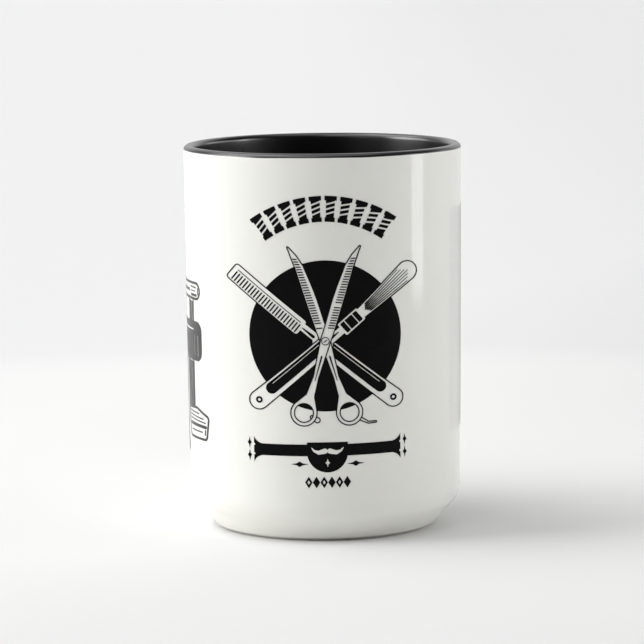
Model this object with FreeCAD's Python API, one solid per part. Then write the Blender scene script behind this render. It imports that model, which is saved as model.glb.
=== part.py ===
import FreeCAD, Part
import math
import os

from FreeCAD import Vector

# A two-tone ceramic shaving mug, in millimetres. The origin is on the cup's axis in the plane of the
# foot ring, +Z is up, the main print faces -Y and the handle is at +Y.

# Cup, over the glaze
height = 117.4
rim_radius = 42.5
shoulder_radius = 41.6
shoulder_z = 9.3
shoulder_round = 8.0
foot_radius = 34.45
foot_edge_z = 1.15
foot_edge_width = 2.05
foot_round = 2.0
foot_ring_width = 4.6
recess_depth = 1.9
recess_round = 1.2
lip_thickness = 3.3
lip_round = 1.6
wall_base_thickness = 4.4
floor_z = 8.0
inner_corner_round = 10.0

# Glaze coats and their borders
glaze = 0.35
black_line_drop = 1.1
bare_foot_height = 0.4
bare_recess_width = 0.5

# Handle: a clay strap on a path in the YZ plane, wider where it meets the wall
handle_path = [(38.0, 94.3), (74.0, 99.0), (70.0, 31.5), (38.0, 27.6)]
handle_bend_radii = [17.0, 20.0]
handle_half_width = 6.3
handle_half_thickness = 4.1
flare_length = 14.0
flare_stations = 6
flare_extra = 4.0
flare_thick_share = 0.8
joint_thickness = 0.8

# Print: ink film, pen lines and layout
ink = 0.08
ink_low_z = 12.0
ink_high_z = 114.0
line = 0.34
fine_line = 0.24
print_tilt_deg = 0.5
disc_radius = 22.6
disc_z = 63.3
tool_spread = 22.4
tool_foot_z = 42.0
comb_angle_deg = 140.4
brush_angle_deg = 40.0

# The drawings below are made of circles (x, z, radius), of pen strokes (x0, z0, x1, z1, width, end width)
# and of blocks (x0, z0, x1, z1, corner radius).

# Comb and shaving brush, drawn along +X from the butt of the grip
tool_length = 64.6
butt = (3.0, 0, 3.0)
eye = (3.1, 0)
eye_outer = 1.0
eye_inner = 0.45
comb_grip_end = (31.0, 0, 2.7)
comb_grip_core = [(8.4, -0.35, 1.75), (30.2, -0.35, 1.6)]
comb_shine = (9.5, -1.25, 29.5, -1.2, fine_line)
comb_neck = [(30.0, 0, 1.5), (40.0, 0, 1.5)]
comb_neck_line = (33.5, 0.25, 37.6, 0.25, 0.9, 0.3)
comb_back = (37.4, -2.3, tool_length, 3.3, 1.1)
comb_back_line = (39.2, -0.75, 62.8, -0.75, fine_line)
tooth_gaps = 24
tooth_pitch = 1.04
tooth_gap = (38.8, 0.0, 38.8, 2.5, 0.44)
brush_grip_end = (29.0, 0, 2.7)
brush_grip_core = [(8.4, 0.35, 1.75), (28.4, 0.35, 1.6)]
brush_shine = (9.5, 1.25, 27.8, 1.2, fine_line)
brush_neck = [(28.0, 0, 1.5), (38.0, 0, 1.5)]
brush_neck_line = (30.5, 0.25, 34.5, 0.25, 0.9, 0.3)
collar = (35.4, -2.5, 43.6, 2.5, 0.8)
collar_core = (36.4, -1.7, 42.6, 1.7, 0.4)
collar_ring = (38.0, -3.0, 38.0, 3.0, 0.35)
collar_rings = 2
collar_pitch = 3.0
bristles = [(43.0, 0, 1.9), (61.4, 0, 3.2)]
hair_pairs = 3
hair_root_x = 45.0
hair_root_spread = 1.3
hair_tip_x = 61.8
hair_tip_spread = 2.35
hair_tip_round = 2.2
hair_widths = (0.36, 0.16)

# Scissors: the half with its blade to the right
blade = [(10.7, 89.8, 0.4), (8.95, 86.9, 1.05), (7.4, 83.8, 1.45), (5.25, 77.8, 1.75), (3.8, 73.5, 1.85),
         (1.2, 65.2, 1.75)]
pivot = (0.0, 61.8)
shank = [(*pivot, 1.7), (-3.0, 51.0, 1.0), (-4.9, 45.2, 1.5)]
shank_crease = (-1.2, 57.2, -3.3, 50.0, 0.5, 0.2)
finger_ring = (-6.8, 40.3)
ring_outer = 4.1
ring_inner = 2.65
hatch_count = 30
hatch_pitch = 0.76
hatch_start = 0.4
hatch_gap = 0.3
hatch_lean = 0.45
hatch_shortest = 0.5
screw_radius = 1.25
screw_slot = (-0.4, 61.5, 0.4, 62.1, 0.3)
finger_rest = [(9.8, 38.3, 0.7), (12.4, 36.9, 0.45), (14.6, 37.0, 0.4)]
ring_stop = [(-4.4, 39.0, 0.7), (-2.8, 38.1, 0.95)]

# Arch of small barber poles
arch_z = 68.5
arch_inner = 28.9
arch_outer = 36.6
arch_half_deg = 37.4
arch_poles = 10
arch_pole_share = 0.78
arch_shaft_share = 0.76
arch_cap = 1.3
arch_gaps = 3
arch_gap = 0.55
arch_gap_pitch = 1.45
arch_gap_rise = 1.1

# Banner with its half-round plate, and the stars and diamonds round it
banner_z = 29.0
banner_half_height = 1.75
banner_arm_end = 19.4
banner_half_length = 21.9
banner_flare_half_height = 3.8
banner_bend = 1.25
banner_bend_drop = 0.5
banner_nick_z = 1.4
banner_nick = 0.35
plate_half_width = 6.1
plate_top_z = 31.4
plate_bottom_z = 22.3
moustache = [(0.75, 28.75, 0.8), (2.6, 28.3, 0.62), (4.0, 28.8, 0.34), (4.7, 29.7, 0.16)]
bead = (0, 25.2, 0.75, 1.35)
stars = [(23.2, 27.1, 0.6, 1.75), (23.2, 30.9, 0.6, 1.75), (8.4, 24.8, 2.6, 0.85)]
star_waist = 0.34
row_z = 19.3
row_marks = 6
row_pitch = 2.3
row_mark = (1.1, 1.75)
row_hole = (0.42, 0.7)

# Barber chair on one side, seen from its own side
chair_line = 0.75
chair_base = (-13.0, 23.6, 4.8, 26.8, 1.4)
chair_base_step = (-8.6, 26.0, 3.6, 30.4, 1.6)
chair_base_lines = [(-11.0, 25.2, 2.8, 25.2, 0.8), (-6.6, 28.6, 1.6, 28.6, 0.9)]
chair_column = (-4.6, 28.0, 2.4, 54.6, 1.2)
chair_column_lines = [(-2.6, 32.4, -2.6, 51.0, 1.4), (0.5, 32.4, 0.5, 51.0, 0.6)]
chair_leg = (6.4, 37.2, 13.8, 53.4, 1.6)
chair_leg_core = (7.3, 38.2, 12.9, 52.4, 1.0)
chair_leg_shine = [(8.9, 40.0, 9.2, 50.6, 0.7, 0.3), (11.3, 42.0, 11.0, 50.0, 0.4, 0.6)]
footrest = [(9.6, 30.4, 1.7), (20.2, 30.4, 1.7), (21.2, 35.3, 1.5), (15.4, 37.4, 1.3), (7.6, 37.0, 1.3)]
footrest_lines = [(8.8, 36.9, 16.6, 36.6, 0.4), (8.8, 35.8, 19.4, 35.3, 0.4),
                  (9.0, 34.7, 20.6, 34.2, 0.4), (9.4, 33.1, 20.8, 32.9, 1.0),
                  (10.4, 31.2, 18.6, 31.2, 0.45), (20.4, 30.6, 20.6, 31.9, 0.6)]
backrest = [(-13.2, 60.5, 3.0), (-10.6, 66.0, 2.6), (-14.4, 94.0, 2.6), (-19.6, 94.6, 2.6)]
backrest_lines = [(-13.2, 64.5, -17.6, 92.0, 2.6), (-11.0, 68.5, -14.0, 92.0, 0.5)]
headrest = [(-19.8, 99.2, 2.4), (-16.6, 98.8, 2.4), (-15.6, 103.6, 2.4), (-18.6, 104.0, 2.4)]
headrest_lines = [(-18.8, 100.2, -17.4, 102.8, 1.4)]
arm_post = (9.6, 62.0, 14.2, 74.0, 1.2)
arm_post_core = (10.4, 63.0, 12.2, 71.0, 0.3)
arm_post_lines = [(13.0, 64.0, 13.0, 70.6, 0.3)]
armrest = [(-9.0, 73.6, 1.9), (16.3, 74.1, 2.8), (-9.0, 74.8, 1.9)]
armrest_lines = [(-7.0, 74.1, 10.0, 74.1, 0.9), (12.0, 75.3, 16.2, 75.1, 0.4), (12.0, 74.1, 15.8, 74.0, 0.3),
                 (12.4, 72.8, 16.4, 72.8, 0.8), (17.6, 73.2, 17.5, 74.9, 0.5)]
seat = (-15.2, 52.7, 19.5, 64.8, 3.0)
seat_rib = (-13.0, 54.4, -13.0, 60.4, 0.42)
seat_ribs = 13
seat_rib_pitch = 2.5
seat_shine = [(-12.6, 62.6, 0.8), (13.6, 62.2, 0.2)]

# Panel of leaning hatch lines on the other side
panel_half_width = 18.4
panel_low_z = 30.6
panel_high_z = 98.7
panel_pitch = 2.1
panel_stripe = 0.8
panel_slope = 1.2

FAR = 60.0
TINY = 1e-6
AXIS = Vector(0, 0, 1)
ORIGIN = Vector(0, 0, 0)


# ---------------------------------------------------------------- plane shapes, in the XZ plane

def at(x, z):
    return Vector(x, 0, z)


def polygon(points):
    corners = [at(x, z) for x, z in points]
    return Part.Face(Part.makePolygon(corners + corners[:1]))


def circle(x, z, radius):
    return Part.Face(Part.Wire(Part.makeCircle(radius, at(x, z), Vector(0, -1, 0))))


def hull(circles, grow=0.0):
    """The face inside a belt pulled round circles (x, z, radius), which are listed counter-clockwise."""
    count = len(circles)
    normals = []
    for i in range(count):
        x0, z0, r0 = circles[i]
        x1, z1, r1 = circles[(i + 1) % count]
        span = math.hypot(x1 - x0, z1 - z0)
        heading = math.atan2(z1 - z0, x1 - x0)
        normals.append(heading - math.acos((r0 - r1) / span))
    edges = []
    for i in range(count):
        x, z, radius = circles[i]
        radius += grow
        start = normals[i - 1]
        sweep = (normals[i] - start) % (2 * math.pi)
        angles = [start + sweep * share for share in (0, 0.5, 1)]
        ends = [at(x + radius * math.cos(angle), z + radius * math.sin(angle)) for angle in angles]
        if sweep > TINY:
            edges.append(Part.Arc(*ends).toShape())
        nx, nz, next_radius = circles[(i + 1) % count]
        next_radius += grow
        landing = at(nx + next_radius * math.cos(normals[i]), nz + next_radius * math.sin(normals[i]))
        edges.append(Part.makeLine(ends[2], landing))
    return Part.Face(Part.Wire(edges))


def stroke(x0, z0, x1, z1, width, end_width=None):
    """A straight pen stroke with round ends."""
    tail = width if end_width is None else end_width
    return hull([(x0, z0, width / 2), (x1, z1, tail / 2)])


def strokes(marks):
    return [stroke(*mark) for mark in marks]


def repeated(mark, count, pitch):
    """Pen strokes side by side along +X."""
    x0, z0, x1, z1, width = mark
    return [stroke(x0 + pitch * i, z0, x1 + pitch * i, z1, width) for i in range(count)]


def block(x0, z0, x1, z1, corner, grow=0.0):
    """A rectangle with round corners."""
    return hull([(x0 + corner, z0 + corner, corner), (x1 - corner, z0 + corner, corner),
                 (x1 - corner, z1 - corner, corner), (x0 + corner, z1 - corner, corner)], grow)


def diamond(x, z, half_width, half_height):
    return polygon([(x, z - half_height), (x + half_width, z), (x, z + half_height), (x - half_width, z)])


def star(x, z, half_width, half_height):
    """A four-pointed star."""
    waist_x = half_width * star_waist
    waist_z = half_height * star_waist
    return polygon([(x, z - half_height), (x + waist_x, z - waist_z), (x + half_width, z),
                    (x + waist_x, z + waist_z), (x, z + half_height), (x - waist_x, z + waist_z),
                    (x - half_width, z), (x - waist_x, z - waist_z)])


def merged(faces):
    """One outline from overlapping faces."""
    return faces[0].multiFuse(faces[1:]).removeSplitter()


def chained(circles, grow=0.0):
    """A bent bar, from a belt round each circle and the next."""
    return merged([hull([start, end], grow) for start, end in zip(circles, circles[1:])])


def together(shapes):
    """Faces that lie side by side."""
    return Part.makeCompound([face for shape in shapes for face in shape.Faces])


def turned(shape, x, z, degrees):
    """A shape drawn along +X from the origin, turned counter-clockwise and moved to (x, z)."""
    copy = shape.copy()
    copy.rotate(ORIGIN, Vector(0, 1, 0), -degrees)
    copy.translate(at(x, z))
    return copy


def mirrored(shape):
    return shape.mirror(ORIGIN, Vector(1, 0, 0))


def outline(silhouette, width=line):
    """The pen line just inside a silhouette, which is a function of how far it grows."""
    return silhouette(0).cut(silhouette(-width))


def painted(layers):
    """Each layer is (name, silhouette, ink face), and its silhouette hides what was painted before it."""
    result = []
    for name, silhouette, inked in layers:
        result = [(other, face.cut(silhouette)) for other, face in result]
        result.append((name, inked))
    return result


# ---------------------------------------------------------------- cup

def rounded_corner(before, corner, after, radius):
    """The arc that rounds a corner, as its three points."""
    to_before = (before - corner).normalize()
    to_after = (after - corner).normalize()
    half = to_before.getAngle(to_after) / 2
    reach = radius / math.tan(half)
    middle = (to_before + to_after).normalize()
    centre = corner + middle * (radius / math.sin(half))
    return corner + to_before * reach, centre - middle * radius, corner + to_after * reach


def wall_radius(z):
    """The glazed outside of the straight wall."""
    share = (z - shoulder_z) / (height - shoulder_z)
    return shoulder_radius + (rim_radius - shoulder_radius) * share


def crossing(start, direction, other_start, other_direction):
    """Where two lines of the section meet."""
    gap = other_start - start
    share = gap.cross(other_direction).y / direction.cross(other_direction).y
    return start + direction * share


def cup_section(inset):
    """Half section of the glazed cup, set in all round and carried a little past the axis."""
    past = -10.0
    foot_inner = foot_radius - foot_ring_width
    corners = [
        (past, recess_depth, 0),
        (foot_inner, recess_depth, recess_round),
        (foot_inner, 0, 0),
        (foot_radius - foot_edge_width, 0, foot_round),
        (foot_radius, foot_edge_z, foot_round),
        (shoulder_radius, shoulder_z, shoulder_round),
        (rim_radius, height, lip_round),
        (rim_radius - lip_thickness, height, lip_round),
        (shoulder_radius - wall_base_thickness, floor_z, inner_corner_round),
        (past, floor_z, 0),
    ]
    points = [at(x, z) for x, z, _ in corners]
    count = len(points)
    directions = [(points[(i + 1) % count] - points[i]).normalize() for i in range(count)]
    starts = [points[i] + at(-directions[i].z, directions[i].x) * inset for i in range(count)]
    sharp = [crossing(starts[i - 1], directions[i - 1], starts[i], directions[i]) for i in range(count)]
    edges = []
    ends = []
    for i in range(count):
        radius = corners[i][2]
        if radius == 0:
            ends.append((sharp[i], sharp[i]))
            continue
        hollow = directions[i - 1].cross(directions[i]).y > 0
        radius += inset if hollow else -inset
        arc = rounded_corner(sharp[i - 1], sharp[i], sharp[(i + 1) % count], radius)
        edges.append(Part.Arc(*arc).toShape())
        ends.append((arc[0], arc[2]))
    for i in range(count):
        edges.append(Part.makeLine(ends[i][1], ends[(i + 1) % count][0]))
    return Part.Face(Part.Wire(Part.__sortEdges__(edges)))


def cup_sections():
    """Sections of the clay and of its three glaze coats."""
    half_plane = polygon([(0, -FAR), (FAR, -FAR), (FAR, 3 * FAR), (0, 3 * FAR)])
    clay = cup_section(glaze).common(half_plane)
    coat = cup_section(0).common(half_plane).cut(clay)
    mid_floor = (floor_z + recess_depth) / 2
    mid_wall = rim_radius - lip_thickness / 2
    lip_z = height - black_line_drop
    mid_base = shoulder_radius - wall_base_thickness / 2
    foot_inner = foot_radius - foot_ring_width
    turn = ((foot_radius + shoulder_radius - wall_base_thickness) / 2, (foot_edge_z + floor_z) / 2)
    inside = polygon([(-1, mid_floor), (foot_inner, mid_floor), turn,
                      (mid_base, (floor_z + inner_corner_round + shoulder_z) / 2),
                      (mid_wall, lip_z), (FAR, lip_z), (FAR, 3 * FAR), (-1, 3 * FAR)])
    bare_inner = foot_inner - bare_recess_width
    foot_zone = polygon([(bare_inner, -1), (FAR, -1),
                         (FAR, bare_foot_height), (bare_inner, bare_foot_height)])
    outside = coat.cut(inside)
    bare = outside.common(foot_zone)
    covered = outside.cut(foot_zone)
    foot_middle = foot_radius - foot_ring_width / 2
    under = polygon([(-1, -1), (foot_middle, -1), (foot_middle, mid_floor), (-1, mid_floor)])
    return merged([clay, bare]), coat.common(inside), covered.cut(under), covered.common(under)


def spun(section):
    solids = [face.revolve(ORIGIN, AXIS, 360) for face in section.Faces]
    return solids[0] if len(solids) == 1 else solids[0].multiFuse(solids[1:]).removeSplitter()


def wall_cone(extra):
    """A solid out to the straight outside wall, plus extra, over the height where things are put on it."""
    low_radius = wall_radius(ink_low_z) + extra
    high_radius = wall_radius(ink_high_z) + extra
    return Part.makeCone(low_radius, high_radius, ink_high_z - ink_low_z, Vector(0, 0, ink_low_z), AXIS)


# ---------------------------------------------------------------- handle

def strap_section(centre, direction, extra, grow):
    """An ellipse across the strap, wide along X."""
    wide = handle_half_width + extra + grow
    thick = handle_half_thickness + extra * flare_thick_share + grow
    ellipse = Part.Ellipse(ORIGIN, wide, thick).toShape()
    normal = Vector(0, direction.y, direction.z)
    rotation = FreeCAD.Rotation(Vector(1, 0, 0), normal.cross(Vector(1, 0, 0)), normal, "ZXY")
    ellipse.Placement = FreeCAD.Placement(centre, rotation)
    return Part.Wire(ellipse)


def flare(start, end, grow):
    """The strap's end, which swells towards the wall."""
    direction = (end - start).normalize()
    sections = []
    for i in range(flare_stations):
        share = i / (flare_stations - 1)
        extra = flare_extra * (1 - share) ** 2
        sections.append(strap_section(start + (end - start) * share, direction, extra, grow))
    return Part.makeLoft(sections, True)


def strap(grow):
    """The whole handle with both swollen ends, reaching into the cup wall."""
    corners = [Vector(0, y, z) for y, z in handle_path]
    bends = [rounded_corner(*corners[i:i + 3], handle_bend_radii[i]) for i in (0, 1)]
    start = corners[0] + (corners[1] - corners[0]).normalize() * flare_length
    end = corners[3] + (corners[2] - corners[3]).normalize() * flare_length
    path = Part.Wire([
        Part.makeLine(start, bends[0][0]),
        Part.Arc(*bends[0]).toShape(),
        Part.makeLine(bends[0][2], bends[1][0]),
        Part.Arc(*bends[1]).toShape(),
        Part.makeLine(bends[1][2], end),
    ])
    middle = path.makePipeShell([strap_section(start, bends[0][0] - start, 0, grow)], True, True)
    return middle.fuse(flare(corners[0], start, grow)).fuse(flare(corners[3], end, grow))


# ---------------------------------------------------------------- print, front

def comb_silhouette(grow):
    grip = hull([butt, comb_grip_end], grow)
    return merged([grip, hull(comb_neck, grow), block(*comb_back, grow)])


def eye_ink():
    """The hang hole in the grip."""
    return circle(*eye, eye_outer).cut(circle(*eye, eye_inner))


def comb_ink():
    core = hull(comb_grip_core).cut(stroke(*comb_shine))
    lines = strokes([comb_neck_line, comb_back_line])
    gaps = repeated(tooth_gap, tooth_gaps, tooth_pitch)
    return together([outline(comb_silhouette), core, eye_ink()] + lines + gaps)


def brush_silhouette(grow):
    grip = hull([butt, brush_grip_end], grow)
    return merged([grip, hull(brush_neck, grow), block(*collar, grow), hull(bristles, grow)])


def brush_ink():
    core = hull(brush_grip_core).cut(stroke(*brush_shine))
    band = block(*collar_core).cut(together(repeated(collar_ring, collar_rings, collar_pitch)))
    hairs = []
    for i in range(-hair_pairs, hair_pairs + 1):
        spread = i / hair_pairs
        root = (hair_root_x + abs(spread), hair_root_spread * spread)
        tip = (hair_tip_x - hair_tip_round * abs(spread), hair_tip_spread * spread)
        hairs.append(stroke(*root, *tip, *hair_widths))
    return together([outline(brush_silhouette), core, eye_ink(), band, stroke(*brush_neck_line)] + hairs)


def half_scissors_silhouette(grow):
    body = chained(blade + shank + [(*finger_ring, ring_outer)], grow)
    return body.cut(circle(*finger_ring, ring_inner - grow))


def blade_station(z):
    """The blade's centre and half width at a height."""
    for upper, lower in zip(blade, blade[1:]):
        if z >= lower[1]:
            break
    share = (z - lower[1]) / (upper[1] - lower[1])
    return lower[0] + (upper[0] - lower[0]) * share, lower[2] + (upper[2] - lower[2]) * share


def half_scissors_ink():
    tip = at(blade[0][0], blade[0][1])
    heel = at(blade[-1][0], blade[-1][1])
    along = (tip - heel).normalize()
    across = Vector(along.z, 0, -along.x)
    hatch = []
    for i in range(hatch_count):
        z = heel.z + hatch_pitch * (i + 0.5)
        x, half_width = blade_station(z)
        room = half_width - line - hatch_gap
        inner = at(x, z) - across * hatch_start
        outer = at(x, z) + across * room + along * hatch_lean
        if room > hatch_shortest:
            hatch.append(stroke(inner.x, inner.z, outer.x, outer.z, line))
    return together([outline(half_scissors_silhouette), stroke(*shank_crease)] + hatch)


def scissors_layers():
    screw = circle(*pivot, screw_radius)
    screw_ink = together([screw.cut(circle(*pivot, screw_radius - fine_line)), stroke(*screw_slot)])
    return [
        ("finger_rest", chained(finger_rest), outline(lambda grow: chained(finger_rest, grow))),
        ("ring_stop", chained(ring_stop), outline(lambda grow: chained(ring_stop, grow))),
        ("back_half", mirrored(half_scissors_silhouette(0)), mirrored(half_scissors_ink())),
        ("front_half", half_scissors_silhouette(0), half_scissors_ink()),
        ("screw", screw, screw_ink),
    ]


def arch_point(radius, degrees):
    """A point of the arch, with degrees counted clockwise from the top."""
    angle = math.radians(degrees)
    return at(radius * math.sin(angle), arch_z + radius * math.cos(angle))


def arch_patch(low, high, start, width):
    """The part of a ring between two radii, over width degrees from start."""
    lower = [arch_point(low, start + width * share) for share in (0, 0.5, 1)]
    upper = [arch_point(high, start + width * share) for share in (1, 0.5, 0)]
    return Part.Face(Part.Wire([
        Part.Arc(*lower).toShape(), Part.makeLine(lower[2], upper[0]),
        Part.Arc(*upper).toShape(), Part.makeLine(upper[2], lower[0])]))


def leaning_gap(radius, start, width):
    """The bare stripe that winds round a pole."""
    end = start + width
    corners = [arch_point(radius, start), arch_point(radius + arch_gap_rise, end),
               arch_point(radius + arch_gap_rise + arch_gap, end), arch_point(radius + arch_gap, start)]
    return polygon([(corner.x, corner.z) for corner in corners])


def arch_ink():
    """A row of small barber poles: a cap above and below, and leaning stripes between them."""
    pitch = 2 * arch_half_deg / arch_poles
    width = pitch * arch_pole_share
    shaft_width = width * arch_shaft_share
    poles = []
    for i in range(arch_poles):
        start = -arch_half_deg + pitch * i + (pitch - width) / 2
        shaft_start = start + (width - shaft_width) / 2
        pole = merged([
            arch_patch(arch_inner, arch_inner + arch_cap, start, width),
            arch_patch(arch_inner, arch_outer, shaft_start, shaft_width),
            arch_patch(arch_outer - arch_cap, arch_outer, start, width)])
        first_gap = arch_inner + arch_cap + arch_gap
        gaps = [leaning_gap(first_gap + arch_gap_pitch * j, start, width) for j in range(arch_gaps)]
        poles.append(pole.cut(together(gaps)))
    return together(poles)


def banner_arm():
    """One half of the ribbon, with a flared end that has two nicks."""
    low = banner_z - banner_half_height
    high = banner_z + banner_half_height
    flare_low = banner_z - banner_flare_half_height
    flare_high = banner_z + banner_flare_half_height
    bend = banner_arm_end + banner_bend
    low_arc = [at(banner_arm_end, low), at(bend, low - banner_bend_drop), at(banner_half_length, flare_low)]
    high_arc = [at(banner_half_length, flare_high), at(bend, high + banner_bend_drop),
                at(banner_arm_end, high)]
    arm = Part.Face(Part.Wire([
        Part.makeLine(at(0, low), low_arc[0]), Part.Arc(*low_arc).toShape(),
        Part.makeLine(low_arc[2], high_arc[0]), Part.Arc(*high_arc).toShape(),
        Part.makeLine(high_arc[2], at(0, high)), Part.makeLine(at(0, high), at(0, low))]))
    nicks = [circle(banner_half_length, banner_z + side * banner_nick_z, banner_nick) for side in (-1, 1)]
    return arm.cut(together(nicks))


def banner_plate():
    """A plate with a flat top and a half-round bottom."""
    round_z = plate_bottom_z + plate_half_width
    left = at(-plate_half_width, round_z)
    right = at(plate_half_width, round_z)
    top_left = at(-plate_half_width, plate_top_z)
    top_right = at(plate_half_width, plate_top_z)
    return Part.Face(Part.Wire([
        Part.Arc(left, at(0, plate_bottom_z), right).toShape(), Part.makeLine(right, top_right),
        Part.makeLine(top_right, top_left), Part.makeLine(top_left, left)]))


def banner_ink():
    """The ribbon and its plate, which holds a moustache and a bead."""
    plate = banner_plate()
    arm = banner_arm().cut(plate)
    half_moustache = chained(moustache)
    badge = plate.cut(together([half_moustache, mirrored(half_moustache), star(*bead)]))
    return together([arm, mirrored(arm), badge])


def star_ink():
    right = [star(*mark) for mark in stars]
    return together(right + [mirrored(shape) for shape in right])


def row_ink():
    """A short row of diamonds under the banner, every other one with a hole."""
    marks = []
    for i in range(row_marks):
        x = (i - (row_marks - 1) / 2) * row_pitch
        mark = diamond(x, row_z, *row_mark)
        marks.append(mark.cut(diamond(x, row_z, *row_hole)) if i % 2 == 0 else mark)
    return together(marks)


def front_prints():
    """Plane ink faces by node name, from back to front."""
    comb = turned(comb_silhouette(0), tool_spread, tool_foot_z, comb_angle_deg)
    brush = turned(brush_silhouette(0), -tool_spread, tool_foot_z, brush_angle_deg)
    disc = circle(0, disc_z, disc_radius)
    layers = [
        ("print_disc", disc, disc),
        ("print_comb", comb, turned(comb_ink(), tool_spread, tool_foot_z, comb_angle_deg)),
        ("print_brush", brush, turned(brush_ink(), -tool_spread, tool_foot_z, brush_angle_deg)),
    ] + scissors_layers()
    result = {}
    for name, face in painted(layers):
        node = name if name.startswith("print_") else "print_scissors"
        result.setdefault(node, []).append(face)
    prints = {node: together(faces) for node, faces in result.items()}
    prints["print_arch"] = arch_ink()
    prints["print_banner"] = banner_ink()
    prints["print_lozenges"] = star_ink()
    prints["print_diamond_row"] = row_ink()
    for face in prints.values():
        face.rotate(at(0, disc_z), Vector(0, 1, 0), -print_tilt_deg)
    return prints


# ---------------------------------------------------------------- print, sides

def chair_base_silhouette(grow):
    return merged([block(*chair_base, grow), block(*chair_base_step, grow)])


def chair_layers():
    """The chair's silhouettes from back to front, each with the ink inside its outline."""
    leg_core = block(*chair_leg_core).cut(together(strokes(chair_leg_shine)))
    bare_seat = together([hull(seat_shine)] + repeated(seat_rib, seat_ribs, seat_rib_pitch))
    post_lines = [block(*arm_post_core)] + strokes(arm_post_lines)
    return [
        (chair_base_silhouette, strokes(chair_base_lines)),
        (lambda grow: block(*chair_column, grow), strokes(chair_column_lines)),
        (lambda grow: block(*chair_leg, grow), [leg_core]),
        (lambda grow: hull(footrest, grow), strokes(footrest_lines)),
        (lambda grow: hull(backrest, grow), strokes(backrest_lines)),
        (lambda grow: hull(headrest, grow), strokes(headrest_lines)),
        (lambda grow: block(*arm_post, grow), post_lines),
        (lambda grow: hull(armrest, grow), strokes(armrest_lines)),
        (lambda grow: block(*seat, grow), [block(*seat, -chair_line).cut(bare_seat)]),
    ]


def chair_ink():
    layers = []
    for silhouette, marks in chair_layers():
        layers.append(("part", silhouette(0), merged([outline(silhouette, chair_line)] + marks)))
    return together([face for _, face in painted(layers)])


def panel_ink():
    """A plain panel of leaning hatch lines."""
    frame = polygon([(-panel_half_width, panel_low_z), (panel_half_width, panel_low_z),
                     (panel_half_width, panel_high_z), (-panel_half_width, panel_high_z)])
    drop = 2 * panel_half_width * panel_slope
    stripes = []
    z = panel_low_z + panel_pitch / 2
    while z < panel_high_z + drop:
        stripe = polygon([(-panel_half_width, z), (panel_half_width, z - drop),
                          (panel_half_width, z - drop + panel_stripe),
                          (-panel_half_width, z + panel_stripe)])
        stripes += stripe.common(frame).Faces
        z += panel_pitch
    return Part.makeCompound(stripes)


# ---------------------------------------------------------------- ink on the wall

def on_wall(faces, shell, turn_deg):
    """Plane ink pressed straight onto the front of the wall, then turned round the axis to its side."""
    pieces = []
    for face in faces.Faces:
        pieces += face.extrude(Vector(0, -FAR, 0)).common(shell).Solids
    result = Part.makeCompound(pieces)
    result.rotate(ORIGIN, AXIS, turn_deg)
    return result


def export(nodes):
    os.makedirs("parts", exist_ok=True)
    for name, shape in nodes.items():
        shape.exportStep(f"parts/{name}.step")
        print(f"{name}: {len(shape.Solids)} solids, {shape.Volume:.1f} mm3, valid {shape.isValid()}")


def build():
    clay, liner, outside, under = cup_sections()
    core = strap(0)
    clay_wall = wall_cone(-glaze)
    joint_wall = wall_cone(joint_thickness - glaze)
    joints = core.common(joint_wall.cut(clay_wall)).Solids
    joints.sort(key=lambda solid: solid.CenterOfMass.z)
    nodes = {
        "mug_body": spun(clay),
        "handle": core.cut(joint_wall),
        "lower_handle_joint": joints[0],
        "upper_handle_joint": joints[1],
        "white_glaze": spun(outside).cut(core),
        "black_liner_glaze": spun(liner),
        "base_glaze": spun(under),
        "handle_glaze": strap(glaze).cut(core).cut(wall_cone(0)),
    }
    shell = wall_cone(ink).cut(wall_cone(0))
    for name, faces in front_prints().items():
        nodes[name] = on_wall(faces, shell, 0)
    nodes["print_chair"] = on_wall(chair_ink(), shell, -90)
    nodes["print_side_panel"] = on_wall(panel_ink(), shell, 90)
    export(nodes)


build()
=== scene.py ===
import math

import bmesh
import bpy
from mathutils import Matrix, Vector


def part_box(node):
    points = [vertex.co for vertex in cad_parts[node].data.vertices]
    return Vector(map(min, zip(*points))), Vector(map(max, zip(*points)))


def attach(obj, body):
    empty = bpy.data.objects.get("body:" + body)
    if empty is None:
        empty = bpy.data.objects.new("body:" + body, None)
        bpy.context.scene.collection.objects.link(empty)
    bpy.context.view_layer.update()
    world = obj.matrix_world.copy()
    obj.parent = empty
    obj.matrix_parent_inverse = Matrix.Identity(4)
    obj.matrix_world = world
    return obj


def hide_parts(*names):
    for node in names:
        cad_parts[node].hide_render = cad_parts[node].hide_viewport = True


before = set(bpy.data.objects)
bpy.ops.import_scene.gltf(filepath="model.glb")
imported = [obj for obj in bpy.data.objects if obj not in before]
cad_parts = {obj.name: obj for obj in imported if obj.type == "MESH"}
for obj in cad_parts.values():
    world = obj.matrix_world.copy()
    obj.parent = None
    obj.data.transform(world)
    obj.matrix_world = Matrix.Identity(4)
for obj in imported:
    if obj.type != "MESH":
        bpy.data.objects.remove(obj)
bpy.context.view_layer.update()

# A two-tone ceramic shaving mug. Metres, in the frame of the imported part: the cup's axis is Z, the
# foot ring stands on z = 0, the main print faces -Y and the handle is at +Y.

MM = 0.001

# ------------------------------------------------------------------ sizes
# Those that the frame has are read from it.

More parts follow.
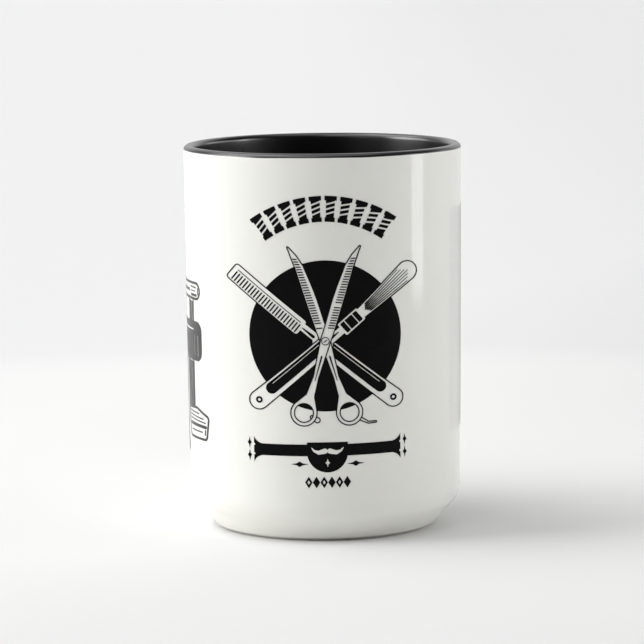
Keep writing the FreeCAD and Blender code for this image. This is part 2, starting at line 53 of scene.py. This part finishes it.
GLAZE = 0.35 * MM
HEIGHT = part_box("black_liner_glaze")[1].z
FLOOR_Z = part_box("black_liner_glaze")[0].z + GLAZE
RECESS_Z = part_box("base_glaze")[1].z - GLAZE
BARE_FOOT_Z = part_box("white_glaze")[0].z
BLACK_LINE_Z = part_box("white_glaze")[1].z
RIM_RADIUS = 42.48 * MM
SHOULDER_RADIUS = 41.6 * MM
SHOULDER_Z = 9.3 * MM
SHOULDER_ROUND = 8.0 * MM
FOOT_RADIUS = 34.45 * MM
FOOT_EDGE_Z = 1.15 * MM
FOOT_EDGE_WIDTH = 2.05 * MM
FOOT_ROUND = 2.0 * MM
FOOT_RING = 4.6 * MM
FOOT_BEVEL = 0.18 * MM
RECESS_ROUND = 1.2 * MM
LIP_THICKNESS = 3.3 * MM
LIP_ROUND = 1.6 * MM
WALL_BASE = 4.4 * MM
INNER_CORNER = 10.0 * MM
PAST_AXIS = -10.0 * MM

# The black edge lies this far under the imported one, and wanders by a few waves. Each wave is its
# height in millimetres, how many there are round the cup, and its phase.
EDGE_DROP = 0.11 * MM
EDGE_WAVES = ((0.05, 3, 0.7), (0.035, 7, 2.1), (0.02, 17, 0.0))

# How finely the cup is divided.
AROUND = 288
ARC_STEPS = 14
WALL_STEPS = 70
CLAY_WALL_STEPS = 30
CHAMFER_STEPS = 8
BLACK_EDGE_STEPS = 6
LIP_STEPS = 8
FLOOR_STEPS = 12
CLAY_FLOOR_STEPS = 8
RECESS_SIDE_STEPS = 3
FOOT_STEPS = 8
ON_AXIS = 1e-9
CUP_SHARP_DEG = 40


# ------------------------------------------------------------------ the cup's section
# Points are (radius, height).

def line_crossing(p, d, q, e):
    """Where the line through p along d meets the line through q along e."""
    share = ((q[0] - p[0]) * e[1] - (q[1] - p[1]) * e[0]) / (d[0] * e[1] - d[1] * e[0])
    return p[0] + d[0] * share, p[1] + d[1] * share


def unit(p, q):
    """The direction from p to q."""
    length = math.hypot(q[0] - p[0], q[1] - p[1])
    return (q[0] - p[0]) / length, (q[1] - p[1]) / length


def rounded_corner(before, corner, after, radius):
    """Points of the arc that rounds a corner."""
    to_before, to_after = unit(corner, before), unit(corner, after)
    half = math.acos(to_before[0] * to_after[0] + to_before[1] * to_after[1]) / 2
    middle = unit((0, 0), (to_before[0] + to_after[0], to_before[1] + to_after[1]))
    reach = radius / math.tan(half)
    depth = radius / math.sin(half)
    centre = (corner[0] + middle[0] * depth, corner[1] + middle[1] * depth)
    first = [corner[n] + to_before[n] * reach - centre[n] for n in (0, 1)]
    last = [corner[n] + to_after[n] * reach - centre[n] for n in (0, 1)]
    sweep = math.atan2(first[0] * last[1] - first[1] * last[0],
                       first[0] * last[0] + first[1] * last[1])
    points = []
    for i in range(ARC_STEPS + 1):
        turn = sweep * i / ARC_STEPS
        cosine, sine = math.cos(turn), math.sin(turn)
        points.append((centre[0] + first[0] * cosine - first[1] * sine,
                       centre[1] + first[0] * sine + first[1] * cosine))
    return points


def cup_outline(inset):
    """The glazed cup's half section, set in all round: the points of each stretch by name."""
    corners = [
        ("recess", PAST_AXIS, RECESS_Z, 0),
        ("recess_round", FOOT_RADIUS - FOOT_RING, RECESS_Z, RECESS_ROUND),
        ("foot_inner", FOOT_RADIUS - FOOT_RING, 0, 0),
        ("foot_outer", FOOT_RADIUS - FOOT_EDGE_WIDTH, 0, FOOT_ROUND),
        ("chamfer", FOOT_RADIUS, FOOT_EDGE_Z, FOOT_ROUND),
        ("shoulder", SHOULDER_RADIUS, SHOULDER_Z, SHOULDER_ROUND),
        ("lip_out", RIM_RADIUS, HEIGHT, LIP_ROUND),
        ("lip_in", RIM_RADIUS - LIP_THICKNESS, HEIGHT, LIP_ROUND),
        ("corner", SHOULDER_RADIUS - WALL_BASE, FLOOR_Z, INNER_CORNER),
        ("floor", PAST_AXIS, FLOOR_Z, 0),
    ]
    count = len(corners)
    points = [(r, z) for _, r, z, _ in corners]
    ways = [unit(points[i], points[(i + 1) % count]) for i in range(count)]
    starts = [(p[0] - way[1] * inset, p[1] + way[0] * inset) for p, way in zip(points, ways)]
    sharp = [line_crossing(starts[i - 1], ways[i - 1], starts[i], ways[i]) for i in range(count)]
    stretches = {}
    for i, (name, _, _, radius) in enumerate(corners):
        if radius == 0:
            stretches[name] = [sharp[i]]
            continue
        convex = ways[i - 1][0] * ways[i][1] - ways[i - 1][1] * ways[i][0] > 0
        inset_radius = radius - inset if convex else radius + inset
        stretches[name] = rounded_corner(sharp[i - 1], sharp[i], sharp[(i + 1) % count],
                                         inset_radius)
    return stretches


OUTLINES = {inset: cup_outline(inset) for inset in (0.0, GLAZE)}


def between(p, q, steps):
    """Points on the way from p to q, without either."""
    return [(p[0] + (q[0] - p[0]) * i / steps, p[1] + (q[1] - p[1]) * i / steps)
            for i in range(1, steps)]


def on_line(p, q, z):
    """The point at a height on the line through p and q."""
    share = (z - p[1]) / (q[1] - p[1])
    return p[0] + (q[0] - p[0]) * share, z


def above(rise, z):
    """The part of a rising line that lies above a height, from its point at that height."""
    for i, (low, high) in enumerate(zip(rise, rise[1:])):
        if z <= high[1]:
            return [on_line(low, high, z)] + rise[i + 1:]
    return rise[-1:]


def black_edge(angle):
    """The height where black glaze meets white. A dipped edge wanders a little."""
    wave = sum(size * math.sin(count * angle + phase) for size, count, phase in EDGE_WAVES)
    return BLACK_LINE_Z - EDGE_DROP + wave * MM


def outside_skin(inset, angle):
    """The white wall, from the bare foot up to the black edge."""
    outline = OUTLINES[inset]
    foot = above(outline["foot_outer"] + outline["chamfer"], BARE_FOOT_Z)
    shoulder = outline["shoulder"]
    lip = outline["lip_out"]
    rise = black_edge(angle) - lip[0][1]
    points = foot + between(foot[-1], shoulder[0], CHAMFER_STEPS)
    points += shoulder + between(shoulder[-1], lip[0], WALL_STEPS)
    return points + [above(lip, lip[0][1] + rise * i / BLACK_EDGE_STEPS)[0]
                     for i in range(BLACK_EDGE_STEPS + 1)]


def liner_skin(inset, angle):
    """The black glaze, from its edge over the lip and down the inside to the floor's middle."""
    outline = OUTLINES[inset]
    lip = outline["lip_out"]
    inner = outline["lip_in"]
    corner = outline["corner"]
    middle = (0.0, corner[-1][1])
    edge_z = black_edge(angle)
    rise = lip[-1][1] - edge_z
    points = [above(lip, edge_z + rise * math.sin(math.pi / 2 * i / LIP_STEPS))[0]
              for i in range(LIP_STEPS + 1)]
    points += inner + between(inner[-1], corner[0], WALL_STEPS)
    return points + corner + between(corner[-1], middle, FLOOR_STEPS) + [middle]


def base_skin(inset, _angle):
    """The glaze in the recess under the base, from the middle out to the bare ring."""
    recess = OUTLINES[inset]["recess_round"]
    middle = (0.0, recess[0][1])
    end = (recess[-1][0], BARE_FOOT_Z)
    points = [middle] + between(middle, recess[0], FLOOR_STEPS) + recess
    return points + between(recess[-1], end, RECESS_SIDE_STEPS) + [end]


def clay_skin(_angle):
    """All of the clay: the cup set in under its glaze, and the bare foot ring."""
    clay = OUTLINES[GLAZE]
    bare = OUTLINES[0.0]
    recess = clay["recess_round"]
    middle = (0.0, recess[0][1])
    inner_radius = bare["foot_inner"][0][0]
    foot_outer = bare["foot_outer"]
    bevelled = (inner_radius + FOOT_BEVEL, 0.0)
    points = [middle] + between(middle, recess[0], CLAY_FLOOR_STEPS) + recess
    points += [(recess[-1][0], BARE_FOOT_Z), (inner_radius, BARE_FOOT_Z)]
    points += [(inner_radius, FOOT_BEVEL), bevelled]
    points += between(bevelled, foot_outer[0], FOOT_STEPS) + foot_outer
    points.append(above(foot_outer + bare["chamfer"], BARE_FOOT_Z)[0])
    points += above(clay["foot_outer"] + clay["chamfer"], BARE_FOOT_Z) + clay["shoulder"]
    crest = clay["lip_out"] + clay["lip_in"]
    points += between(points[-1], crest[0], CLAY_WALL_STEPS) + crest
    corner = clay["corner"]
    floor = (0.0, corner[-1][1])
    points += between(crest[-1], corner[0], CLAY_WALL_STEPS) + corner
    return points + between(corner[-1], floor, CLAY_FLOOR_STEPS) + [floor]


def wall_radius(z):
    """The glazed wall's outside radius at a height between the shoulder and the lip."""
    return on_line(OUTLINES[0.0]["shoulder"][-1], OUTLINES[0.0]["lip_out"][0], z)[0]


# ------------------------------------------------------------------ meshes

def new_object(name, mesh):
    piece = bpy.data.objects.new(name, mesh)
    bpy.context.scene.collection.objects.link(piece)
    return piece


def mesh_object(name, shape):
    """Closes a bmesh and makes it an object."""
    mesh = bpy.data.meshes.new(name)
    shape.to_mesh(mesh)
    shape.free()
    return new_object(name, mesh)


def smooth(mesh, sharp_deg):
    for polygon in mesh.polygons:
        polygon.use_smooth = True
    mesh.set_sharp_from_angle(angle=math.radians(sharp_deg))


def lathe(name, section):
    """Turns a closed section round the axis. section(angle) gives its points."""
    angles = [2 * math.pi * i / AROUND for i in range(AROUND)]
    rings = [section(angle) for angle in angles]
    count = len(rings[0])
    shape = bmesh.new()
    poles = {j: shape.verts.new((0, 0, z)) for j, (r, z) in enumerate(rings[0]) if r < ON_AXIS}
    grid = []
    for angle, ring in zip(angles, rings):
        sine, cosine = math.sin(angle), -math.cos(angle)
        grid.append([poles[j] if j in poles else shape.verts.new((r * sine, r * cosine, z))
                     for j, (r, z) in enumerate(ring)])
    for i in range(AROUND):
        here, following = grid[i], grid[(i + 1) % AROUND]
        for j in range(count):
            k = (j + 1) % count
            corners = [here[j], following[j], following[k], here[k]]
            corners = [c for n, c in enumerate(corners) if c not in corners[:n]]
            if len(corners) > 2:
                shape.faces.new(corners)
    bmesh.ops.recalc_face_normals(shape, faces=shape.faces)
    piece = mesh_object(name, shape)
    smooth(piece.data, CUP_SHARP_DEG)
    return piece


def coat(name, skin):
    """A glaze coat: its outer skin, and back along the clay."""
    return lathe(name, lambda angle: skin(0.0, angle) + skin(GLAZE, angle)[::-1])


# ------------------------------------------------------------------ handle
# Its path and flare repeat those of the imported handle.

HANDLE_CORNERS = [(38.0 * MM, 94.3 * MM), (74.0 * MM, 99.0 * MM),
                  (70.0 * MM, 31.5 * MM), (38.0 * MM, 27.6 * MM)]
HANDLE_BENDS = (17.0 * MM, 20.0 * MM)
HALF_WIDTH = 6.3 * MM + GLAZE
HALF_THICKNESS = 4.1 * MM + GLAZE
FLARE_LENGTH = 14.0 * MM
FLARE_EXTRA = 4.0 * MM
FLARE_THICK_SHARE = 0.8
GLAZE_FILLET = 2.2 * MM
SETTLE_LENGTH = 12.0 * MM
SINK = 0.3 * MM
STRAP_ROUND = 48
STRAP_STEP = 0.75 * MM
STRAP_SQUARENESS = 2.2
STRAP_SHARP_DEG = 50


def handle_line():
    """The strap's centre line as (y, z) points, from the path's upper end to its lower end."""
    a, b, c, d = HANDLE_CORNERS
    upper = rounded_corner(a, b, c, HANDLE_BENDS[0])
    lower = rounded_corner(b, c, d, HANDLE_BENDS[1])
    rough = [a] + upper + lower + [d]
    line = [a]
    for p, q in zip(rough, rough[1:]):
        steps = max(1, round(math.dist(p, q) / STRAP_STEP))
        line += between(p, q, steps) + [q]
    return line


def outside_wall(line):
    """The stretch of the line that lies outside the cup, with its two ends on the wall."""
    kept = []
    for p, q in zip(line, line[1:]):
        gap_p, gap_q = p[0] - wall_radius(p[1]), q[0] - wall_radius(q[1])
        if gap_p * gap_q < 0:
            share = gap_p / (gap_p - gap_q)
            kept.append((p[0] + (q[0] - p[0]) * share, p[1] + (q[1] - p[1]) * share))
        if gap_q > 0:
            kept.append(q)
    return kept


def super_ellipse(turn):
    """A slightly squared oval: its x and y shares at a turn."""
    power = 2 / STRAP_SQUARENESS
    return [math.copysign(abs(share) ** power, share) for share in (math.cos(turn), math.sin(turn))]


def strap_halves(to_wall, end_depth):
    """The strap's half width and half thickness at a distance along its line from the wall. Its
    clay flares from the line's end, which lies end_depth inside the wall, and its glaze gathers in
    a fillet at the wall."""
    flare = max(0.0, 1 - (to_wall + end_depth) / FLARE_LENGTH) ** 2 * FLARE_EXTRA
    fillet = 0.0
    if to_wall < GLAZE_FILLET:
        fillet = GLAZE_FILLET - math.sqrt(GLAZE_FILLET ** 2 - (GLAZE_FILLET - to_wall) ** 2)
    return HALF_WIDTH + flare + fillet, HALF_THICKNESS + FLARE_THICK_SHARE * flare + fillet


def make_handle():
    line = [Vector((0, y, z)) for y, z in outside_wall(handle_line())]
    reach = [0.0]
    for p, q in zip(line, line[1:]):
        reach.append(reach[-1] + (q - p).length)
    upper_depth = (line[0] - Vector((0, *HANDLE_CORNERS[0]))).length
    lower_depth = (line[-1] - Vector((0, *HANDLE_CORNERS[-1]))).length
    shape = bmesh.new()
    rings = []
    for i, centre in enumerate(line):
        way = (line[min(i + 1, len(line) - 1)] - line[max(i - 1, 0)]).normalized()
        across = Vector((0, -way.z, way.y))
        if reach[i] < reach[-1] / 2:
            to_wall, end_depth, outward = reach[i], upper_depth, way
        else:
            to_wall, end_depth, outward = reach[-1] - reach[i], lower_depth, -way
        wide, thick = strap_halves(to_wall, end_depth)
        settle = max(0.0, 1 - to_wall / SETTLE_LENGTH) ** 2
        foot = centre - outward * to_wall
        ring = []
        for k in range(STRAP_ROUND):
            x_share, y_share = super_ellipse(2 * math.pi * k / STRAP_ROUND)
            offset = Vector((wide * x_share, 0, 0)) + across * (thick * y_share)
            target = foot + offset
            wall_y = math.sqrt(wall_radius(target.z) ** 2 - target.x ** 2)
            slide = (wall_y - target.y) / outward.y
            ring.append(shape.verts.new(centre + offset + outward * (slide * settle)))
        rings.append(ring)
    upper_way = (line[1] - line[0]).normalized()
    lower_way = (line[-2] - line[-1]).normalized()
    rings.insert(0, [shape.verts.new(v.co - upper_way * SINK) for v in rings[0]])
    rings.append([shape.verts.new(v.co - lower_way * SINK) for v in rings[-1]])
    for here, following in zip(rings, rings[1:]):
        for k in range(STRAP_ROUND):
            m = (k + 1) % STRAP_ROUND
            shape.faces.new((here[k], here[m], following[m], following[k]))
    shape.faces.new(rings[0][::-1])
    shape.faces.new(rings[-1])
    bmesh.ops.recalc_face_normals(shape, faces=shape.faces)
    piece = mesh_object("handle_black", shape)
    smooth(piece.data, STRAP_SHARP_DEG)
    return piece


# ------------------------------------------------------------------ materials

# Nearly all of a noise texture's values lie in this part of its range.
NOISE_SPREAD = (0.3, 0.7)
GLASSY_IOR = 1.5
FLOW_RELIEF = 0.012 * MM
PEEL_RELIEF = 0.0012 * MM
INK_UNEVENNESS = 0.1


def new_material(name):
    """A material, its node tree and its Principled shader."""
    material = bpy.data.materials.new(name)
    material.use_nodes = True
    return material, material.node_tree, material.node_tree.nodes["Principled BSDF"]


def add(tree, kind, **inputs):
    """A new node with values for its inputs, an underscore standing for a space."""
    node = tree.nodes.new(kind)
    for key, value in inputs.items():
        node.inputs[key.replace("_", " ")].default_value = value
    return node


def place_on_object(tree):
    return tree.nodes.new("ShaderNodeTexCoord").outputs["Object"]


def noise(tree, vector, scale, detail=3.0, roughness=0.5):
    node = add(tree, "ShaderNodeTexNoise", Scale=scale, Detail=detail, Roughness=roughness)
    tree.links.new(vector, node.inputs["Vector"])
    return node.outputs["Fac"]


def ramp(tree, value, stops):
    """Colours by value. Each stop is its position and its colour."""
    node = tree.nodes.new("ShaderNodeValToRGB")
    while len(node.color_ramp.elements) < len(stops):
        node.color_ramp.elements.new(0.5)
    for element, (position, colour) in zip(node.color_ramp.elements, stops):
        element.position = position
        element.color = (*colour, 1)
    tree.links.new(value, node.inputs["Fac"])
    return node.outputs["Color"]


def remap(tree, value, from_range, to_range):
    node = tree.nodes.new("ShaderNodeMapRange")
    for side, (low, high) in (("From", from_range), ("To", to_range)):
        node.inputs[side + " Min"].default_value = low
        node.inputs[side + " Max"].default_value = high
    tree.links.new(value, node.inputs["Value"])
    return node.outputs["Result"]


def multiplied(tree, first, second):
    """The product of two colours."""
    node = tree.nodes.new("ShaderNodeMix")
    node.data_type = "RGBA"
    node.blend_type = "MULTIPLY"
    node.inputs["Factor"].default_value = 1.0
    tree.links.new(first, node.inputs["A"])
    tree.links.new(second, node.inputs["B"])
    return node.outputs["Result"]


def specks(tree, vector, scale, start, full, colour):
    """White, with small specks of a colour where a fine noise goes past a start value."""
    white = (1, 1, 1)
    return ramp(tree, noise(tree, vector, scale, detail=1.0),
                [(0.0, white), (start, white), (full, colour)])


def bump(tree, vector, strength, distance, **grain):
    """A bump node whose height is a noise."""
    node = add(tree, "ShaderNodeBump", Strength=strength, Distance=distance)
    tree.links.new(noise(tree, vector, **grain), node.inputs["Height"])
    return node


def uneven_roughness(tree, shader, vector, scale, low, high, detail=3.0):
    value = remap(tree, noise(tree, vector, scale, detail), NOISE_SPREAD, (low, high))
    tree.links.new(value, shader.inputs["Roughness"])


def glossy_surface(tree, shader, vector, specular):
    """What every fired, glossy surface here shares: a faint flow of the glaze and orange peel."""
    flow = bump(tree, vector, strength=1.0, distance=FLOW_RELIEF, scale=95, detail=1.5)
    peel = bump(tree, vector, strength=0.6, distance=PEEL_RELIEF, scale=900, detail=2.0)
    tree.links.new(flow.outputs["Normal"], peel.inputs["Normal"])
    tree.links.new(peel.outputs["Normal"], shader.inputs["Normal"])
    shader.inputs["IOR"].default_value = GLASSY_IOR
    shader.inputs["Specular IOR Level"].default_value = specular


def white_glaze_material():
    material, tree, shader = new_material("white_glaze")
    vector = place_on_object(tree)
    cloud = ramp(tree, noise(tree, vector, scale=38, detail=4, roughness=0.55),
                 [(0.3, (0.875, 0.872, 0.825)), (0.7, (0.90, 0.896, 0.852))])
    iron = specks(tree, vector, scale=1400, start=0.79, full=0.84, colour=(0.93, 0.92, 0.89))
    tree.links.new(multiplied(tree, cloud, iron), shader.inputs["Base Color"])
    uneven_roughness(tree, shader, vector, scale=60, low=0.06, high=0.10)
    glossy_surface(tree, shader, vector, specular=0.4)
    return material


def black_glaze_material():
    material, tree, shader = new_material("black_glaze")
    vector = place_on_object(tree)
    body = ramp(tree, noise(tree, vector, scale=70, detail=4, roughness=0.6),
                [(0.3, (0.0010, 0.0010, 0.0011)), (0.75, (0.0028, 0.0027, 0.0026))])
    tree.links.new(body, shader.inputs["Base Color"])
    uneven_roughness(tree, shader, vector, scale=120, low=0.27, high=0.33)
    glossy_surface(tree, shader, vector, specular=0.75)
    shader.inputs["Coat Weight"].default_value = 0.5
    shader.inputs["Coat Roughness"].default_value = 0.1
    return material


def ink_material(name, dark, light, specular, roughness):
    """Ink under the wall's own clear gloss, a little uneven where the transfer pressed less."""
    material, tree, shader = new_material(name)
    vector = place_on_object(tree)
    body = ramp(tree, noise(tree, vector, scale=160, detail=5, roughness=0.6),
                [(0.35, dark), (0.75, light)])
    tree.links.new(body, shader.inputs["Base Color"])
    low, high = roughness * (1 - INK_UNEVENNESS), roughness * (1 + INK_UNEVENNESS)
    uneven_roughness(tree, shader, vector, scale=60, low=low, high=high)
    glossy_surface(tree, shader, vector, specular)
    return material


def clay_material(name, dark, light, grain):
    """Fired, unglazed clay: dull, with fine specks and a grain that catches the light."""
    material, tree, shader = new_material(name)
    vector = place_on_object(tree)
    body = ramp(tree, noise(tree, vector, scale=240, detail=6, roughness=0.65),
                [(0.3, dark), (0.7, light)])
    grog = specks(tree, vector, scale=2600, start=0.7, full=0.76, colour=(0.72, 0.66, 0.58))
    tree.links.new(multiplied(tree, body, grog), shader.inputs["Base Color"])
    uneven_roughness(tree, shader, vector, scale=500, low=0.75, high=0.95, detail=4)
    rough = bump(tree, vector, strength=0.8, distance=grain, scale=3200, detail=4, roughness=0.7)
    tree.links.new(rough.outputs["Normal"], shader.inputs["Normal"])
    return material


# ------------------------------------------------------------------ the pieces

WHITE = white_glaze_material()
BLACK = black_glaze_material()
INK = ink_material("black_ink", (0.0006, 0.0006, 0.0007), (0.002, 0.002, 0.0021), 0.08, 0.28)
# The chair's ink is dark grey rather than black: a painted highlight that stands for glare on it at
# the wall's lit left side.
CHAIR_INK_PAINTED_SHEEN = ink_material("chair_ink_painted_sheen", (0.035, 0.035, 0.036), (0.06, 0.06, 0.06), 0.35, 0.3)
PALE_INK = ink_material("pale_ink", (0.80, 0.795, 0.77), (0.82, 0.815, 0.79), 0.4, 0.1)
CLAY = clay_material("bare_clay", (0.70, 0.66, 0.59), (0.80, 0.77, 0.71), 0.03 * MM)
SLIP = clay_material("slip", (0.66, 0.63, 0.57), (0.74, 0.71, 0.65), 0.02 * MM)
SPECIAL_INKS = {"print_side_panel": PALE_INK, "print_chair": CHAIR_INK_PAINTED_SHEEN}


def paint(piece, material):
    piece.data.materials.clear()
    piece.data.materials.append(material)


def finish_piece(piece, material, node):
    paint(piece, material)
    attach(piece, "root")
    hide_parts(node)


def lay_on_wall(piece, wall):
    """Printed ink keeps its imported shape, and takes the wall's own smooth normals."""
    modifier = piece.modifiers.new("wall_normals", "DATA_TRANSFER")
    modifier.object = wall
    modifier.use_loop_data = True
    modifier.data_types_loops = {"CUSTOM_NORMAL"}
    modifier.loop_mapping = "POLYINTERP_NEAREST"


finish_piece(lathe("cup_clay", clay_skin), CLAY, "mug_body")
cup_white = coat("cup_white", outside_skin)
finish_piece(cup_white, WHITE, "white_glaze")
finish_piece(coat("cup_liner", liner_skin), BLACK, "black_liner_glaze")
finish_piece(coat("cup_base", base_skin), WHITE, "base_glaze")
finish_piece(make_handle(), BLACK, "handle_glaze")

paint(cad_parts["handle"], CLAY)
paint(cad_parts["upper_handle_joint"], SLIP)
paint(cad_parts["lower_handle_joint"], SLIP)
for node in sorted(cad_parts):
    if node.startswith("print_"):
        paint(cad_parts[node], SPECIAL_INKS.get(node, INK))
        lay_on_wall(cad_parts[node], cup_white)


# ------------------------------------------------------------------ floor

FLOOR_RADIUS = 8.0
FLOOR_SEGMENTS = 96
# The tabletop reaches this far from the mug, and then blurs into a slightly darker backdrop.
TABLE_EDGE = 0.36
TABLE_BLUR = 0.05
TABLE_COLOUR = (0.932, 0.932, 0.927)
BACKDROP_COLOUR = (0.882, 0.882, 0.884)
FLOOR_ROUGHNESS = 0.9
# Painted shade: the table's colour darkens a little towards the front right, and all of it towards
# the right. Each row is a direction, and two distances along it with the share of the colour that is
# left at each.
PAINTED_SHADE_GRADIENTS = (
    ((-0.9, 0.45, 0.0), (-0.15, 0.19), (0.855, 1.0)),
    ((-1.0, 0.0, 0.0), (-0.25, 0.0), (0.93, 1.0)),
)


def vector_math(tree, operation, vector):
    node = tree.nodes.new("ShaderNodeVectorMath")
    node.operation = operation
    tree.links.new(vector, node.inputs[0])
    return node


def floor_material():
    material, tree, shader = new_material("pale_floor")
    spot = place_on_object(tree)
    distance = vector_math(tree, "LENGTH", spot).outputs["Value"]
    tone = ramp(tree, remap(tree, distance, (0.0, FLOOR_RADIUS), (0.0, 1.0)),
                [(TABLE_EDGE / FLOOR_RADIUS, TABLE_COLOUR),
                 ((TABLE_EDGE + TABLE_BLUR) / FLOOR_RADIUS, BACKDROP_COLOUR)])
    # Painted shade: each gradient scales the floor colour down along its direction.
    for way, distances, shares in PAINTED_SHADE_GRADIENTS:
        along = vector_math(tree, "DOT_PRODUCT", spot)
        along.inputs[1].default_value = way
        share = remap(tree, along.outputs["Value"], distances, shares)
        shaded = vector_math(tree, "SCALE", tone)
        tree.links.new(share, shaded.inputs["Scale"])
        tone = shaded.outputs["Vector"]
    tree.links.new(tone, shader.inputs["Base Color"])
    shader.inputs["Roughness"].default_value = FLOOR_ROUGHNESS
    shader.inputs["Specular IOR Level"].default_value = 0.0
    return material


def make_floor():
    shape = bmesh.new()
    bmesh.ops.create_circle(shape, cap_ends=True, segments=FLOOR_SEGMENTS, radius=FLOOR_RADIUS)
    floor = mesh_object("floor", shape)
    floor.data.materials.append(floor_material())


# ------------------------------------------------------------------ light
# Azimuth 0 is in front of the mug, at -Y, and 90 is on its +X side. Angles are in degrees.

AMBIENT = 0.035
SKYLINE_COLOUR = (0.875, 0.875, 0.877)
ALL_ROUND = 180
# Distant softboxes. name: strength, azimuth, half width, lowest and highest elevation, and how far
# the edge is blurred each way. One that goes all round is a cap that reaches up to the zenith.
SKY = {
    "left": (6.5, -80, 10, 2, 35, 6),
    "left_back": (3.5, -100, 10, 2, 35, 6),
    "left_far_back": (0.5, -120, 10, 2, 35, 6),
    "left_front": (0.5, -40, 10, 2, 35, 6),
    "high_left": (2.95, -105, 35, 40, 75, 8),
    "high_front": (1.35, -35, 30, 40, 75, 8),
    "back": (0.77, 180, 40, 0, 50, 12),
    "right": (1.95, 95, 35, 0, 22, 8),
    "top": (0.92, 0, ALL_ROUND, 65, 90, 8),
}

# A near lamp, which puts the upright highlight on the wall's right side.
STRIP_TARGET = Vector((30 * MM, -28 * MM, 100 * MM))
STRIP_AZIMUTH = 84
STRIP_ELEVATION = 11
STRIP_DISTANCE = 0.36
STRIP_WIDTH = 0.09
STRIP_HEIGHT = 0.30
STRIP_RADIANCE = 3.25


def direction(azimuth, elevation):
    a, e = math.radians(azimuth), math.radians(elevation)
    return Vector((math.sin(a) * math.cos(e), -math.cos(a) * math.cos(e), math.sin(e)))


def make_strip():
    """A rectangular lamp that faces its target. The camera looks past it."""
    light = bpy.data.lights.new("right_strip", "AREA")
    light.shape = "RECTANGLE"
    light.size, light.size_y = STRIP_WIDTH, STRIP_HEIGHT
    light.energy = STRIP_RADIANCE * math.pi * STRIP_WIDTH * STRIP_HEIGHT
    lamp = bpy.data.objects.new("right_strip", light)
    bpy.context.scene.collection.objects.link(lamp)
    lamp.location = STRIP_TARGET + direction(STRIP_AZIMUTH, STRIP_ELEVATION) * STRIP_DISTANCE
    lamp.rotation_mode = "QUATERNION"
    lamp.rotation_quaternion = (STRIP_TARGET - lamp.location).to_track_quat("-Z", "Y")
    lamp.visible_camera = False


def math_node(tree, operation, first, second):
    """Two numbers combined. Each is a socket or a plain float."""
    node = tree.nodes.new("ShaderNodeMath")
    node.operation = operation
    for socket, value in zip(node.inputs, (first, second)):
        if isinstance(value, float):
            socket.default_value = value
        else:
            tree.links.new(value, socket)
    return node.outputs["Value"]


def soft_step(tree, value, low, high):
    """0 below low and 1 above high, with a smooth rise between."""
    node = add(tree, "ShaderNodeMapRange", From_Min=low, From_Max=high)
    node.interpolation_type = "SMOOTHSTEP"
    tree.links.new(value, node.inputs["Value"])
    return node.outputs["Result"]


def far_softbox(tree, level, height, azimuth, half_width, low, high, edge):
    """1 in the directions of a large, distant softbox and 0 elsewhere, with soft edges. level is
    the direction flattened to the ground, and height is the sine of its elevation."""
    steps = [math.sin(math.radians(angle)) for angle in (low - edge, low + edge,
                                                         high - edge, high + edge)]
    over_low = soft_step(tree, height, steps[0], steps[1])
    if half_width >= ALL_ROUND:
        return over_low
    over_high = soft_step(tree, height, steps[2], steps[3])
    dot = vector_math(tree, "DOT_PRODUCT", level)
    dot.inputs[1].default_value = direction(azimuth, 0)
    sideways = soft_step(tree, dot.outputs["Value"], math.cos(math.radians(half_width + edge)),
                         math.cos(math.radians(half_width - edge)))
    return math_node(tree, "MULTIPLY", sideways,
                     math_node(tree, "SUBTRACT", over_low, over_high))


def studio_world():
    """Soft light from distant softboxes, so that the floor is lit evenly out to its edge. The
    camera sees a plain skyline in their place."""
    world = bpy.data.worlds.new("studio")
    bpy.context.scene.world = world
    world.use_nodes = True
    tree = world.node_tree
    ray = tree.nodes.new("ShaderNodeTexCoord").outputs["Generated"]
    split = tree.nodes.new("ShaderNodeSeparateXYZ")
    tree.links.new(ray, split.inputs["Vector"])
    flat = vector_math(tree, "MULTIPLY", ray)
    flat.inputs[1].default_value = (1, 1, 0)
    level = vector_math(tree, "NORMALIZE", flat.outputs["Vector"]).outputs["Vector"]
    total = None
    for name, (strength, *shape) in SKY.items():
        box = far_softbox(tree, level, split.outputs["Z"], *shape)
        part = math_node(tree, "MULTIPLY", box, float(strength))
        part.node.name = name
        total = part if total is None else math_node(tree, "ADD", total, part)
    choose = tree.nodes.new("ShaderNodeMix")
    choose.data_type = "RGBA"
    choose.inputs["B"].default_value = (*SKYLINE_COLOUR, 1)
    path = tree.nodes.new("ShaderNodeLightPath")
    tree.links.new(path.outputs["Is Camera Ray"], choose.inputs["Factor"])
    tree.links.new(math_node(tree, "ADD", total, AMBIENT), choose.inputs["A"])
    tree.links.new(choose.outputs["Result"], tree.nodes["Background"].inputs["Color"])


make_floor()
studio_world()
make_strip()


# ------------------------------------------------------------------ camera
# It stands in front of the mug, turned round it by a small azimuth, and looks slightly down.

CAMERA_AZIMUTH = -0.47
CAMERA_DISTANCE = 1.1271
CAMERA_HEIGHT = 0.2067
CAMERA_PITCH = 7.308
CAMERA_ROLL = 0.598
CAMERA_SIDESTEP = -0.0006
LENS = 206.39
SENSOR_WIDTH = 36.0
NEAREST, FARTHEST = 0.05, 50.0

camera_data = bpy.data.cameras.new("camera")
camera_data.lens = LENS
camera_data.sensor_width = SENSOR_WIDTH
camera_data.clip_start, camera_data.clip_end = NEAREST, FARTHEST
camera = bpy.data.objects.new("camera", camera_data)
bpy.context.scene.collection.objects.link(camera)
turn = Matrix.Rotation(math.radians(CAMERA_AZIMUTH), 4, "Z")
stand = Matrix.Translation((CAMERA_SIDESTEP, -CAMERA_DISTANCE, CAMERA_HEIGHT))
pitch = Matrix.Rotation(math.radians(90 - CAMERA_PITCH), 4, "X")
roll = Matrix.Rotation(math.radians(-CAMERA_ROLL), 4, "Z")
camera.matrix_world = turn @ stand @ pitch @ roll
bpy.context.scene.camera = camera
bpy.context.scene.view_settings.view_transform = "Standard"
